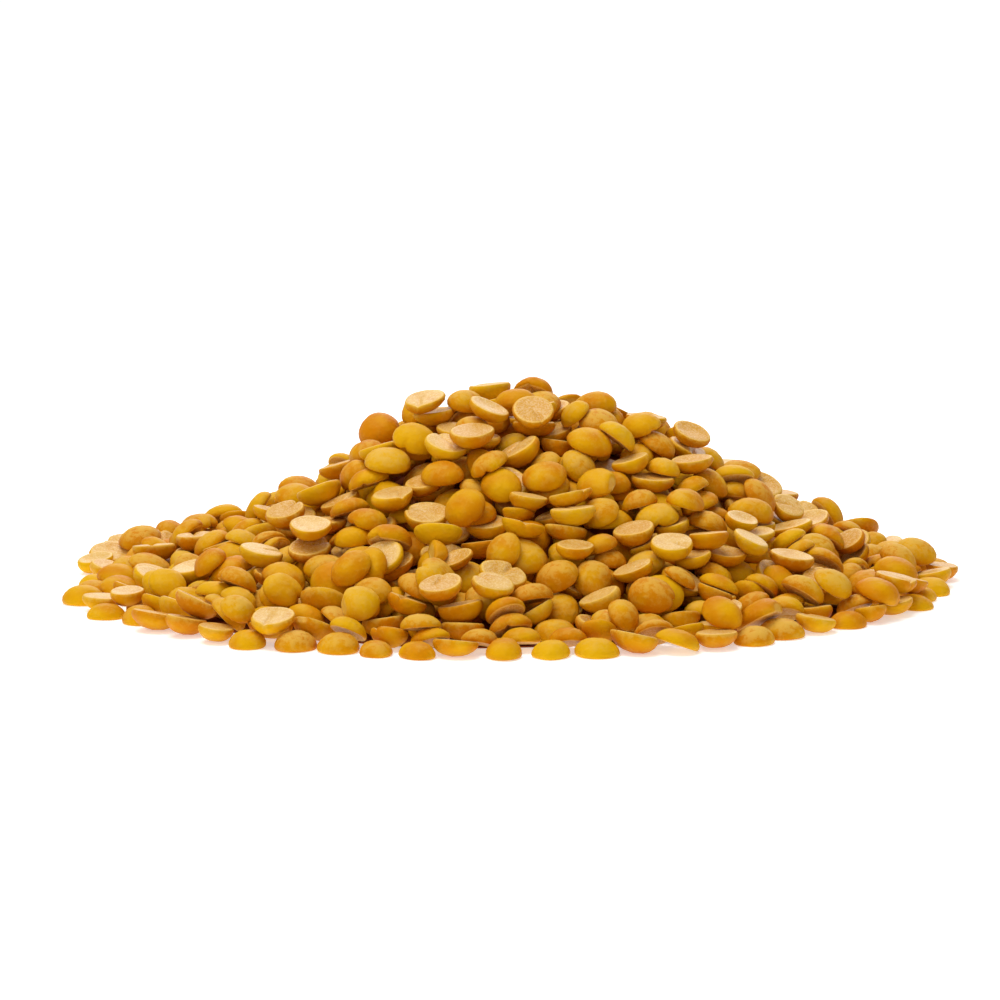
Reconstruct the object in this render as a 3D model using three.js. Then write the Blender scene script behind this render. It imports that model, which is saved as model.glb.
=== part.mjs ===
// A heap of split toor dal as it lies on a table: one solid, out to the uneven outline of its splits.
// Millimetres, +Z up, +X to the viewer's right and +Y away from the viewer.
// The origin is on the table, under the middle of the heap's box.
import * as THREE from "three";

// The heap's driving dimensions.
const WIDTH = 111; // along X, from foot to foot
const DEPTH = 92; // along Y, from foot to foot
const HEIGHT = 24.5; // from the table to the highest split
const MEAN_HEIGHT = 23.2; // from the table to the crown's mean surface, which the splits stand proud of
const CREST_X = -4; // the crest lies left of the middle
const CREST_Y = 6.5; // and behind it, so the front flank is the longest
const CROWN_SHARE = 0.125; // the part of the way to the foot that the rounded crown takes
const CROWN_LEAN = 0.095; // how much more of that way it takes on the right, and less on the left
const CROWN_SOFTNESS = 0.07; // how gently the crown turns into the flank
const FLANK_BOW = 1.3; // the power that hollows the flanks a little, where 1 is straight
const BOW_LEAN = 0.15; // how much the left flank is hollower, and the right one straighter
const FOOT_HEIGHT = 1.2; // the outermost splits lie one deep, so their mean surface is this high
const FRONT_FULLNESS = 2.3; // the power of the oval that the foot follows: 2 is an ellipse, more is blunter
const BACK_FULLNESS = 1.9;
const FOOT_WAVES = [
  { count: 3, depth: 0.9, phase: 0.4 },
  { count: 5, depth: 0.8, phase: 2.1 },
  { count: 11, depth: 0.6, phase: 1.2 },
];
const KNOLLS = [
  { x: -13, y: 6.5, rise: 3, spread: 6 }, // the step at the left end of the crown
  { x: 19, y: 6.5, rise: 3, spread: 9 }, // the shoulder on the right
];

// One split: half a pea, flat on the cut side and domed on the other.
const SPLIT_LENGTH = 6.1;
const SPLIT_WIDTH = 5.4;
const SPLIT_THICKNESS = 2.5;
const SPLIT_SIZE_SPREAD = 0.14; // a split is up to this share larger or smaller
const SPLIT_LEAN = 0.38; // steepest lean of a split against the flank, as a slope
const CUT_SIDE_UP_SHARE = 0.45; // the part of the splits that show their flat side
const SPLIT_PITCH = 5.1; // mean distance between neighbouring splits on the surface
const SINK = 1.5; // how deep a split's middle sits below the flank's mean surface
const LEAST_HOLLOW = 0.6; // the solid is at least this thick in the hollows between the foot's splits

// How finely the surface is faceted.
const RING_COUNT = 30;
const RING_SECTORS = 6; // each ring has this many more points than the one inside it
const SLOPE_STEP = 0.5;

const GOLDEN_ANGLE = Math.PI * (3 - Math.sqrt(5));
const RANDOM_SEED = 20;

// A repeatable stream of numbers from 0 to 1.
function randomStream(seed) {
  let state = seed;
  return () => {
    state = (Math.imul(state, 1664525) + 1013904223) >>> 0;
    return state / 2 ** 32;
  };
}

// Distance from the crest to the foot of the heap, in the direction of the angle.
function footRadius(angle) {
  const alongX = Math.cos(angle) > 0 ? WIDTH / 2 - CREST_X : WIDTH / 2 + CREST_X;
  const alongY = Math.sin(angle) > 0 ? DEPTH / 2 - CREST_Y : DEPTH / 2 + CREST_Y;
  const fullness = Math.sin(angle) > 0 ? BACK_FULLNESS : FRONT_FULLNESS;
  const share = (extent, reach) => Math.abs(extent / reach) ** fullness;
  const oval = (share(Math.cos(angle), alongX) + share(Math.sin(angle), alongY)) ** (-1 / fullness);
  const wave = ({ count, depth, phase }) => depth * Math.sin(count * angle + phase);
  return FOOT_WAVES.reduce((radius, each) => radius + wave(each), oval);
}

// Height that the knolls add over a place.
function knollHeight(x, y) {
  const rise = (knoll) => {
    const away = Math.hypot(x - knoll.x, y - knoll.y) / knoll.spread;
    return knoll.rise * Math.exp(-(away ** 2));
  };
  return KNOLLS.reduce((height, knoll) => height + rise(knoll), 0);
}

// Height of the heap's mean surface: a rounded crown that turns into straight flanks, and the knolls on them.
function meanHeight(x, y) {
  const angle = Math.atan2(y - CREST_Y, x - CREST_X);
  const share = Math.hypot(x - CREST_X, y - CREST_Y) / footRadius(angle);
  const flank = (1 - share) / (1 - CROWN_SHARE - CROWN_LEAN * Math.cos(angle));
  const gap = (1 - flank) / CROWN_SOFTNESS;
  const crowned = Math.max(1 - CROWN_SOFTNESS * Math.log1p(Math.exp(gap)), 0);
  const bowed = crowned ** (FLANK_BOW - BOW_LEAN * Math.cos(angle));
  return FOOT_HEIGHT + (MEAN_HEIGHT - FOOT_HEIGHT) * bowed + knollHeight(x, y);
}

// The slope of the mean surface at a place, along X and along Y.
function meanSlope(x, y) {
  return {
    x: (meanHeight(x + SLOPE_STEP, y) - meanHeight(x - SLOPE_STEP, y)) / (2 * SLOPE_STEP),
    y: (meanHeight(x, y + SLOPE_STEP) - meanHeight(x, y - SLOPE_STEP)) / (2 * SLOPE_STEP),
  };
}

// The splits that show, spread evenly over the heap along a golden spiral.
function surfaceSplits() {
  const random = randomStream(RANDOM_SEED);
  const either = (most) => most * (2 * random() - 1);
  const count = Math.round((Math.PI * WIDTH * DEPTH) / 4 / SPLIT_PITCH ** 2);
  return Array.from({ length: count }, (_, index) => {
    const angle = index * GOLDEN_ANGLE;
    const radius = footRadius(angle) * Math.sqrt((index + 0.5) / count);
    const x = CREST_X + radius * Math.cos(angle);
    const y = CREST_Y + radius * Math.sin(angle);
    const size = 1 + either(SPLIT_SIZE_SPREAD);
    const slope = meanSlope(x, y);
    return {
      x,
      y,
      turn: random() * Math.PI,
      halfLength: (SPLIT_LENGTH / 2) * size,
      halfWidth: (SPLIT_WIDTH / 2) * size,
      thickness: SPLIT_THICKNESS * size,
      bottom: Math.max(meanHeight(x, y) - SINK, 0),
      slope: { x: slope.x + either(SPLIT_LEAN), y: slope.y + either(SPLIT_LEAN) },
      cutSideUp: random() < CUT_SIDE_UP_SHARE,
    };
  });
}

// Height of one split's upper side over a place, or nothing where the split doesn't reach.
function splitHeight(split, x, y) {
  const dx = x - split.x;
  const dy = y - split.y;
  const along = (dx * Math.cos(split.turn) + dy * Math.sin(split.turn)) / split.halfLength;
  const across = (dy * Math.cos(split.turn) - dx * Math.sin(split.turn)) / split.halfWidth;
  const reach = along ** 2 + across ** 2;
  if (reach >= 1) return -Infinity;
  const leaning = split.bottom + dx * split.slope.x + dy * split.slope.y;
  return leaning + split.thickness * (split.cutSideUp ? 1 : Math.sqrt(1 - reach));
}

// Height of the heap's real surface: the highest split over a place, or the hollow between splits.
function heapHeight(splits, x, y) {
  const hollow = Math.max(meanHeight(x, y) - SINK, LEAST_HOLLOW);
  return splits.reduce((height, split) => Math.max(height, splitHeight(split, x, y)), hollow);
}

// Points of one ring round the crest, from the first angle on.
function ringPoints(ring) {
  const count = Math.max(1, RING_SECTORS * ring);
  return Array.from({ length: count }, (_, index) => {
    const angle = (2 * Math.PI * index) / count;
    const radius = (footRadius(angle) * ring) / RING_COUNT;
    return [CREST_X + radius * Math.cos(angle), CREST_Y + radius * Math.sin(angle)];
  });
}

// Index of a ring's first point, where ring 0 is the crest alone.
const ringStart = (ring) => (ring === 0 ? 0 : 1 + (RING_SECTORS * ring * (ring - 1)) / 2);
const ringPoint = (ring, index) => ringStart(ring) + (ring === 0 ? 0 : index % (RING_SECTORS * ring));

// Triangles of the upper side, sector by sector between each ring and the next.
function upperTriangles() {
  const triangles = [];
  for (let ring = 0; ring < RING_COUNT; ring++) {
    for (let sector = 0; sector < RING_SECTORS; sector++) {
      for (let step = 0; step <= ring; step++) {
        const inner = sector * ring + step;
        const outer = sector * (ring + 1) + step;
        triangles.push(ringPoint(ring, inner), ringPoint(ring + 1, outer), ringPoint(ring + 1, outer + 1));
        if (step < ring) {
          triangles.push(ringPoint(ring, inner), ringPoint(ring + 1, outer + 1), ringPoint(ring, inner + 1));
        }
      }
    }
  }
  return triangles;
}

// Triangles of the foot's upright edge and of the flat base, from the foot's points to those below them.
function baseTriangles(lowerStart, middle) {
  const triangles = [];
  const count = RING_SECTORS * RING_COUNT;
  for (let index = 0; index < count; index++) {
    const upper = ringPoint(RING_COUNT, index);
    const nextUpper = ringPoint(RING_COUNT, index + 1);
    const lower = lowerStart + index;
    const nextLower = lowerStart + ((index + 1) % count);
    triangles.push(upper, lower, nextLower, upper, nextLower, nextUpper);
    triangles.push(lower, middle, nextLower);
  }
  return triangles;
}

// Stretches the solid to its stated box, with the origin on the table under the middle.
function fitToBox(geometry) {
  geometry.computeBoundingBox();
  const { min, max } = geometry.boundingBox;
  geometry.translate(-(min.x + max.x) / 2, -(min.y + max.y) / 2, -min.z);
  geometry.scale(WIDTH / (max.x - min.x), DEPTH / (max.y - min.y), HEIGHT / (max.z - min.z));
  return geometry;
}

// The whole heap as one closed solid.
function heapGeometry() {
  const splits = surfaceSplits();
  const positions = [];
  for (let ring = 0; ring <= RING_COUNT; ring++) {
    for (const [x, y] of ringPoints(ring)) positions.push(x, y, heapHeight(splits, x, y));
  }
  const lowerStart = positions.length / 3;
  for (const [x, y] of ringPoints(RING_COUNT)) positions.push(x, y, 0);
  const middle = positions.length / 3;
  positions.push(CREST_X, CREST_Y, 0);

  const geometry = new THREE.BufferGeometry();
  geometry.setAttribute("position", new THREE.Float32BufferAttribute(positions, 3));
  geometry.setIndex([...upperTriangles(), ...baseTriangles(lowerStart, middle)]);
  fitToBox(geometry).computeVertexNormals();
  return geometry;
}

// Dry, skinned splits: amber domes and paler cut sides, with a low sheen.
const dalMaterial = new THREE.MeshStandardMaterial({ color: 0xc98d1f, roughness: 0.55, metalness: 0 });

const heap = new THREE.Mesh(heapGeometry(), dalMaterial);
heap.name = "toor_dal_heap";

const part = new THREE.Group();
part.add(heap);

export default part;
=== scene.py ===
"""A heap of split toor dal: real splits laid by gravity over a core, on a white table in soft light."""

import logging
import math
from collections.abc import Iterable
from dataclasses import dataclass, field
from enum import Enum

import bmesh
import bpy
import numpy as np
from mathutils import Matrix, Quaternion, Vector, noise
from mathutils.bvhtree import BVHTree


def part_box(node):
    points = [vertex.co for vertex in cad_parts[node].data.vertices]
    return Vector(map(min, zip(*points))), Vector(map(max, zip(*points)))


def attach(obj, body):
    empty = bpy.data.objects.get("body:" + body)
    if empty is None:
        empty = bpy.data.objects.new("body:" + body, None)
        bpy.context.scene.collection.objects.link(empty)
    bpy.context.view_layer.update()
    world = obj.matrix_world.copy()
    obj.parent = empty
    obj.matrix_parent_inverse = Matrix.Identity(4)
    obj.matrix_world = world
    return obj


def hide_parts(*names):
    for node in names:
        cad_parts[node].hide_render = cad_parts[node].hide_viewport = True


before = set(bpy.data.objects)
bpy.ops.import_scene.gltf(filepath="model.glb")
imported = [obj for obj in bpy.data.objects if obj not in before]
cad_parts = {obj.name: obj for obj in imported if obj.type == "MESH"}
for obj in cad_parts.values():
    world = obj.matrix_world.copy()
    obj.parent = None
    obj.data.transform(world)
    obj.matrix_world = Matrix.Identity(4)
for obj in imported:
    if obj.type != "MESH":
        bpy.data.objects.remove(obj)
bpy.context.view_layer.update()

log = logging.getLogger("toor_dal")

MM = 0.001
HEAP_NODE = "toor_dal_heap"
BODY = "root"
BAKE_MAP = "OFBake"
SEED = 11
ANY_PHASE = (0.0, 6.28)  # a whole turn, in radians
FLAT = 1e-3  # what counts as level while a split is shaped
NIL = 1e-6  # shorter than any length that matters


class SplitKind(Enum):
    """The kinds of split in the heap, each named as its piece."""

    PLAIN = "plain_splits"
    NOTCHED = "notched_splits"
    CREASED = "creased_splits"
    HOLLOW = "hollow_splits"
    CHIPPED = "chipped_splits"
    BROKEN = "broken_splits"


KIND_SHARES: dict[SplitKind, float] = {
    SplitKind.PLAIN: 0.28,
    SplitKind.NOTCHED: 0.23,
    SplitKind.CREASED: 0.22,
    SplitKind.HOLLOW: 0.21,
    SplitKind.CHIPPED: 0.04,
    SplitKind.BROKEN: 0.02,
}


def smooth_step(low: float, high: float, value: float) -> float:
    """Rises smoothly from 0 at low to 1 at high."""
    share = min(max((value - low) / (high - low), 0.0), 1.0)
    return share * share * (3.0 - 2.0 * share)


def between(rng: np.random.Generator, limits: tuple[float, float]) -> float:
    """Draws a number between two limits."""
    return float(rng.uniform(*limits))


def either_way(rng: np.random.Generator, most: float) -> float:
    """Draws a number between minus most and most."""
    return float(rng.uniform(-most, most))


def sign(rng: np.random.Generator) -> float:
    """Draws 1 or -1."""
    return 1.0 if rng.uniform() < 0.5 else -1.0


@dataclass(frozen=True)
class SplitSizes:
    """How large a split is and how far splits differ, lengths in metres and the rest as shares."""

    length: float = 5.65 * MM
    length_spread: float = 0.42 * MM
    length_range: tuple[float, float] = (4.5 * MM, 6.8 * MM)
    width_share: tuple[float, float] = (0.78, 0.97)
    thickness_share: tuple[float, float] = (0.34, 0.43)
    corner_power: tuple[float, float] = (1.75, 2.5)
    egg: float = 0.12
    lobe: float = 0.035
    pole_shift: float = 0.14
    pole_calm: float = 0.6
    face_bow: tuple[float, float] = (-0.03, 0.11)
    lumps: float = 0.035
    lump_scale: float = 1.6
    face_calm: float = 0.6
    tint_spread: float = 0.45


@dataclass(frozen=True)
class Flaws:
    """How the other kinds of split differ from a plain one, in half lengths of a split."""

    notch_groove: float = 0.24
    notch_end: float = -0.15
    notch_hook: float = 0.22
    notch_depth: tuple[float, float] = (0.12, 0.26)
    crease_groove: float = 0.18
    crease_end: float = -0.75
    crease_hook: tuple[float, float] = (0.15, 0.4)
    crease_notch: tuple[float, float] = (0.02, 0.10)
    hollow_depth: tuple[float, float] = (0.10, 0.20)
    hollow_shift: float = 0.25
    hollow_run: tuple[float, float] = (0.25, 0.85)
    chip_count: tuple[int, int] = (1, 3)
    chip_reach: tuple[float, float] = (0.72, 0.90)
    chip_lean: float = 0.6
    break_reach: tuple[float, float] = (-0.10, 0.35)
    corner_reach: tuple[float, float] = (0.55, 0.80)
    break_lean: float = 0.4


@dataclass
class Split:
    """One split: half a pea, cut flat below and domed above, at true size round its centre of mass.

    While it is shaped, it is two units long and one thick, over the cut face at z = 0, which looks down.
    The profile gives the distance from the axis and the height of each ring of points below the pole.
    """

    kind: SplitKind
    rng: np.random.Generator
    sizes: SplitSizes = field(default_factory=SplitSizes)
    flaws: Flaws = field(default_factory=Flaws)
    segments: int = 12
    profile: tuple[tuple[float, float], ...] = ((0.92, 0.0), (1.0, 0.30), (0.66, 0.80))
    rim_band: float = 0.10
    face_band: float = 0.42
    groove_half_width: float = 0.10
    seam_from: float = 0.55
    seam_top: float = 0.62
    notch_run: tuple[float, float] = (0.5, 0.95)
    notch_rise: tuple[float, float] = (0.2, 0.8)
    rim_mark: float = 0.5
    break_edge_mark: float = 0.45
    break_mark: float = 0.62
    least_cut_mark: float = 0.6
    least_face_mark: float = 0.75
    heart: float = 0.25
    below_height: float = 0.22
    below_normal: float = 0.8
    dome_spread: float = 1.85
    tile_radius: float = 0.47
    mesh: bpy.types.Mesh | None = None
    size: Vector | None = None

    def build(self, name: str) -> bpy.types.Mesh:
        """Models the split.

        Args:
            name: the mesh's name.

        Returns:
            The mesh, with its marks for cut faces, tint and dust and its bake map.
        """
        bm = self.half_pea()
        self.spoil(bm)
        self.lay_out(bm)
        self.sculpt(bm)
        self.tell_apart(bm)
        bmesh.ops.recalc_face_normals(bm, faces=bm.faces)
        bmesh.ops.translate(bm, vec=-self.centre_of_mass(bm), verts=bm.verts)
        for face in bm.faces:
            face.smooth = True
        self.mesh = bpy.data.meshes.new(name)
        bm.to_mesh(self.mesh)
        bm.free()
        return self.mesh

    def spoil(self, bm: bmesh.types.BMesh) -> None:
        """Gives a plain split the grooves, notches, hollows and breaks of its kind."""
        rng, flaws = self.rng, self.flaws
        if self.kind is SplitKind.NOTCHED:
            self.groove(bm, flaws.notch_groove, flaws.notch_end, either_way(rng, flaws.notch_hook))
            self.notch(bm, between(rng, flaws.notch_depth))
        elif self.kind is SplitKind.CREASED:
            hook = sign(rng) * between(rng, flaws.crease_hook)
            self.groove(bm, flaws.crease_groove, flaws.crease_end, hook)
            self.notch(bm, between(rng, flaws.crease_notch))
        elif self.kind is SplitKind.HOLLOW:
            self.hollow(bm, between(rng, flaws.hollow_depth))
        elif self.kind is SplitKind.CHIPPED:
            for _ in range(int(rng.integers(*flaws.chip_count))):
                self.chip(bm, between(rng, flaws.chip_reach), either_way(rng, flaws.chip_lean))
        elif self.kind is SplitKind.BROKEN:
            for reach in (flaws.break_reach, flaws.corner_reach):
                self.chip(bm, between(rng, reach), either_way(rng, flaws.break_lean))

    def half_pea(self) -> bmesh.types.BMesh:
        """Makes the dome ring by ring, and the banded cut face under it.

        Returns:
            A closed bmesh whose cut mark is 1 on the cut face, 0 on the dome and half on the rim.
        """
        bm = bmesh.new()
        cut = bm.verts.layers.float.new("cut")
        turns = [2.0 * math.pi * step / self.segments for step in range(self.segments)]
        rings = [[bm.verts.new((reach * math.cos(turn), reach * math.sin(turn), height)) for turn in turns]
                 for reach, height in self.profile]
        pole = bm.verts.new((0.0, 0.0, 1.0))
        for lower, upper in zip(rings, rings[1:]):
            for step in range(self.segments):
                bm.faces.new((lower[step - 1], lower[step], upper[step], upper[step - 1]))
        for step in range(self.segments):
            bm.faces.new((rings[-1][step - 1], rings[-1][step], pole))
        self.cap(bm, rings[0], cut)
        return bm

    def cap(self, bm: bmesh.types.BMesh, rim: list[bmesh.types.BMVert], cut: bmesh.types.BMLayerItem) -> None:
        """Closes the open rim with a face in bands, and marks it as cut.

        Args:
            bm: the open dome.
            rim: the rim's points in order.
            cut: the layer that marks cut faces.
        """
        face = bm.faces.new(rim[::-1])
        bm.normal_update()
        for vert in rim:
            vert[cut] = self.rim_mark
        for width in (self.rim_band, self.face_band):
            bmesh.ops.inset_region(bm, faces=[face], thickness=width, use_even_offset=True)
            for vert in face.verts:
                vert[cut] = 1.0
        middle = bmesh.ops.poke(bm, faces=[face])["verts"][0]
        middle[cut] = 1.0

    def groove(self, bm: bmesh.types.BMesh, depth: float, inner_end: float, hook: float) -> None:
        """Presses the germ's line into the cut face, from the rim at +Y inwards.

        Args:
            bm: the split.
            depth: how deep the line is at the rim.
            inner_end: the place along Y where the line runs out.
            hook: how far the line bends sideways.
        """
        cut = bm.verts.layers.float["cut"]
        for offset in (-self.groove_half_width, 0.0, self.groove_half_width):
            faces = [face for face in bm.faces if self.near_groove(face, inner_end)]
            edges = dict.fromkeys(edge for face in faces for edge in face.edges)
            verts = dict.fromkeys(vert for face in faces for vert in face.verts)
            made = bmesh.ops.bisect_plane(
                bm, geom=[*verts, *edges, *faces], dist=FLAT,
                plane_co=(offset, 0, 0), plane_no=(1, 0, 0),
            )["geom_cut"]
            for vert in (item for item in made if isinstance(item, bmesh.types.BMVert)):
                on_rim = vert.co.y > 0.96 * self.profile[0][0]
                on_face = self.rim_mark if on_rim else 1.0
                vert[cut] = on_face if abs(vert.co.z) < FLAT else 0.0
        for vert in bm.verts:
            if abs(vert.co.z) <= FLAT and abs(vert.co.x) < 0.5 * self.groove_half_width:
                vert.co.z += depth * smooth_step(inner_end, 0.5, vert.co.y)
        for vert in bm.verts:
            if vert[cut] > self.least_face_mark:
                inside = 1.0 - min(vert.co.x ** 2 + vert.co.y ** 2, 1.0)
                vert.co.x += hook * inside * smooth_step(0.9, -0.4, vert.co.y)

    def near_groove(self, face: bmesh.types.BMFace, inner_end: float) -> bool:
        """Tells whether the germ's line crosses a face."""
        middle = face.calc_center_median()
        if middle.z < 20.0 * FLAT:
            return middle.y > inner_end
        return middle.y > self.seam_from and middle.z < self.seam_top

    def notch(self, bm: bmesh.types.BMesh, depth: float) -> None:
        """Dents the rim where the germ's line meets it.

        Args:
            bm: the split, already grooved.
            depth: how far the rim is pressed in.
        """
        for vert in bm.verts:
            if vert.co.y < self.notch_run[0] or abs(vert.co.x) > 0.5 * self.groove_half_width:
                continue
            fading = 1.0 - smooth_step(*self.notch_rise, vert.co.z)
            vert.co.y -= depth * smooth_step(*self.notch_run, vert.co.y) * fading

    def hollow(self, bm: bmesh.types.BMesh, depth: float) -> None:
        """Sinks the cut face inside its rim.

        Args:
            bm: the split.
            depth: how deep the middle sinks.
        """
        cut = bm.verts.layers.float["cut"]
        off_x = either_way(self.rng, self.flaws.hollow_shift)
        off_y = either_way(self.rng, self.flaws.hollow_shift)
        for vert in bm.verts:
            if vert[cut] > self.least_face_mark:
                away = math.hypot(vert.co.x - off_x, vert.co.y - off_y)
                vert.co.z += depth * (1.0 - smooth_step(*self.flaws.hollow_run, away))

    def chip(self, bm: bmesh.types.BMesh, reach: float, lean: float) -> None:
        """Breaks a side off along a plane and closes the break.

        Args:
            bm: the split.
            reach: the break's distance from the middle.
            lean: how far the break leans out of the upright, as a slope.
        """
        cut = bm.verts.layers.float["cut"]
        turn = float(self.rng.uniform(0.0, 2.0 * math.pi))
        outward = Vector((math.cos(turn), math.sin(turn), lean)).normalized()
        bmesh.ops.bisect_plane(
            bm, geom=[*bm.verts, *bm.edges, *bm.faces], dist=FLAT,
            plane_co=outward * reach, plane_no=outward, clear_outer=True,
        )
        edges = [edge for edge in bm.edges if edge.is_boundary]
        faces = bmesh.ops.holes_fill(bm, edges=edges, sides=0)["faces"]
        for vert in {vert for face in faces for vert in face.verts}:
            vert[cut] = max(vert[cut], self.break_edge_mark)
        middles = bmesh.ops.poke(bm, faces=faces)
        for vert in middles["verts"]:
            vert[cut] = self.break_mark
        spokes = dict.fromkeys(edge for vert in middles["verts"] for edge in vert.link_edges)
        made = bmesh.ops.subdivide_edges(bm, edges=list(spokes), cuts=1)["geom_inner"]
        for vert in (item for item in made if isinstance(item, bmesh.types.BMVert)):
            vert[cut] = self.break_mark

    def lay_out(self, bm: bmesh.types.BMesh) -> None:
        """Lays the dome and the cut face side by side as two discs in the bake map, in a 2 by 1 tile."""
        bm.normal_update()
        bake = bm.loops.layers.uv.new(BAKE_MAP)
        for face in bm.faces:
            low = face.calc_center_median().z < self.below_height
            below = low and abs(face.normal.z) > self.below_normal
            for loop in face.loops:
                spot = loop.vert.co
                flat = spot.xy if below else self.unrolled(spot)
                middle = 1.5 if below else 0.5
                loop[bake].uv = (middle + self.tile_radius * flat.x, 0.5 + self.tile_radius * flat.y)

    def unrolled(self, spot: Vector) -> Vector:
        """Where a point of the dome lies on a disc, by its angle from the upright as seen from the heart."""
        ray = (spot - Vector((0.0, 0.0, self.heart))).normalized()
        angle = math.acos(max(min(ray.z, 1.0), -1.0))
        return ray.xy.normalized() * angle / self.dome_spread

    def sculpt(self, bm: bmesh.types.BMesh) -> None:
        """Gives the split its own outline, dome and lumps, and its true size."""
        cut = bm.verts.layers.float["cut"]
        rng, sizes = self.rng, self.sizes
        power = between(rng, sizes.corner_power)
        egg = either_way(rng, sizes.egg)
        lobes = [(count, either_way(rng, sizes.lobe), between(rng, ANY_PHASE)) for count in (2, 3, 5)]
        shift = Vector((rng.normal(), rng.normal(), 0.0)) * sizes.pole_shift * sizes.pole_calm
        bow = between(rng, sizes.face_bow)
        where = Vector(rng.uniform(0.0, 100.0, 3))
        turn = between(rng, ANY_PHASE)
        for vert in bm.verts:
            spot = vert.co.copy()
            angle = math.atan2(spot.y, spot.x)
            corner = angle + turn
            stretch = (abs(math.cos(corner)) ** power + abs(math.sin(corner)) ** power) ** (-1.0 / power)
            stretch += sum(depth * math.sin(count * angle + phase) for count, depth, phase in lobes)
            stretch *= 1.0 + egg * spot.x
            vert.co.x = spot.x * stretch + shift.x * spot.z
            vert.co.y = spot.y * stretch + shift.y * spot.z
            if vert[cut] > self.least_face_mark:
                vert.co.z += bow * (1.0 - min(spot.x ** 2 + spot.y ** 2, 1.0))
            rough = noise.noise(spot * sizes.lump_scale + where)
            away = spot.normalized() if spot.length > NIL else Vector((0, 0, -1))
            calm = 1.0 if vert[cut] < self.least_cut_mark else sizes.face_calm
            vert.co += away * rough * sizes.lumps * calm
        length = float(np.clip(rng.normal(sizes.length, sizes.length_spread), *sizes.length_range))
        width = length * between(rng, sizes.width_share)
        thickness = length * between(rng, sizes.thickness_share)
        along = Matrix.Rotation(either_way(rng, math.pi), 3, "Z")
        bmesh.ops.rotate(bm, cent=(0, 0, 0), matrix=along, verts=bm.verts)
        self.size = Vector((length, width, thickness))
        bmesh.ops.scale(bm, vec=(length / 2.0, width / 2.0, thickness), verts=bm.verts)

    def tell_apart(self, bm: bmesh.types.BMesh) -> None:
        """Gives all of the split's points its own tint and share of dust; once the split lies, the dust is
        shifted onto its upper sides, where it also serves as a painted sheen.
        """
        tint = bm.verts.layers.float.new("tint")
        dust_and_sheen = bm.verts.layers.float.new("dust_and_sheen")
        own_tint = float(np.clip(self.rng.normal(0.0, self.sizes.tint_spread), -1.0, 1.0))
        own_dust = between(self.rng, (0.0, 1.0))
        for vert in bm.verts:
            vert[tint] = own_tint
            vert[dust_and_sheen] = own_dust

    def centre_of_mass(self, bm: bmesh.types.BMesh) -> Vector:
        """Sums the tetrahedra from the origin to each triangle.

        Args:
            bm: the closed split.

        Returns:
            The centre of mass.
        """
        volume = 0.0
        moment = Vector((0.0, 0.0, 0.0))
        for loops in bm.calc_loop_triangles():
            first, second, third = (loop.vert.co for loop in loops)
            share = first.dot(second.cross(third))
            volume += share
            moment += (first + second + third) * share / 4.0
        return moment / volume


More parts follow.
